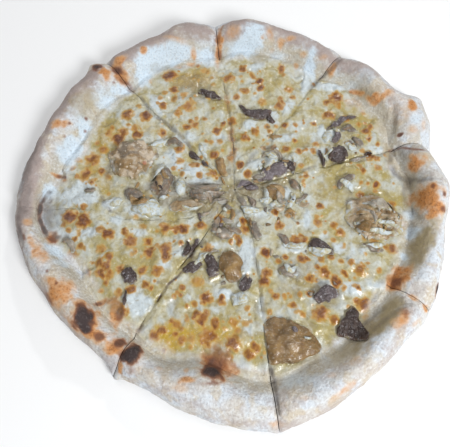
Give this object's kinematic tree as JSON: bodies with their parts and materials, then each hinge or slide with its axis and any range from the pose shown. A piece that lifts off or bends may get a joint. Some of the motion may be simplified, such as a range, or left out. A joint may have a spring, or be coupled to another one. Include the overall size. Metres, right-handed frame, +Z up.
{
  "type": "pizza",
  "caption": "Whole thin pizza cut into slices that still lie together, with a puffed baked rim, melted cheese, mushroom slices and dark truffle shavings.",
  "frame": {"origin": "under the middle of the round, on the flat face it rests on", "axes": "+Z up out of the toppings, +X to the right and +Y away as the picture shows it"},
  "size_m": [0.3154, 0.317, 0.0259],
  "materials": {
    "baked_dough": "matte, floury",
    "melted_cheese": "oily gloss",
    "mushroom_tan": "moist satin",
    "mushroom_grey": "moist satin",
    "truffle": "satin",
    "cheese_puff": "satin"
  },
  "bodies": {
    "root": {"crust_1": "baked_dough", "cheese_1": "melted_cheese", "crust_2": "baked_dough", "cheese_2": "melted_cheese", "crust_3": "baked_dough", "cheese_3": "melted_cheese", "crust_4": "baked_dough", "cheese_4": "melted_cheese", "crust_5": "baked_dough", "cheese_5": "melted_cheese", "crust_6": "baked_dough", "cheese_6": "melted_cheese", "crust_7": "baked_dough", "cheese_7": "melted_cheese", "crust_8": "baked_dough", "cheese_8": "melted_cheese", "puffed_mushroom_4": "mushroom_tan", "folded_mushroom_4a": "mushroom_grey", "folded_mushroom_4b": "mushroom_grey", "pale_mushroom_4": "cheese_puff", "long_mushroom_4": "mushroom_grey", "curled_mushroom_4": "mushroom_tan", "cheese_puff_4": "cheese_puff", "small_mushroom_4": "mushroom_grey", "leaning_mushroom_3": "mushroom_tan", "truffle_3": "truffle", "truffle_2": "truffle", "truffle_1a": "truffle", "truffle_1b": "truffle", "truffle_1c": "truffle", "truffle_1d": "truffle", "truffle_1e": "truffle", "mushroom_1a": "mushroom_grey", "mushroom_1b": "mushroom_grey", "mushroom_1c": "mushroom_grey", "truffle_8a": "truffle", "mushroom_8a": "mushroom_tan", "mushroom_8b": "mushroom_grey", "pale_mushroom_8": "cheese_puff", "mushroom_mound_8": "mushroom_tan", "mound_slice_8a": "mushroom_tan", "mound_slice_8b": "mushroom_grey", "mound_slice_8c": "mushroom_tan", "mushroom_8c": "mushroom_grey", "truffle_7a": "truffle", "truffle_7b": "truffle", "truffle_leaf_7": "truffle", "broad_mushroom_7": "mushroom_tan", "mushroom_7a": "mushroom_grey", "mushroom_7b": "mushroom_grey", "brown_mushroom_6": "mushroom_tan", "truffle_6a": "truffle", "truffle_6b": "truffle", "cheese_puff_6": "cheese_puff", "truffle_6c": "truffle", "mushroom_6": "mushroom_grey", "truffle_5a": "truffle", "truffle_5b": "truffle", "mushroom_5": "mushroom_grey"}
  },
  "joints": []
}
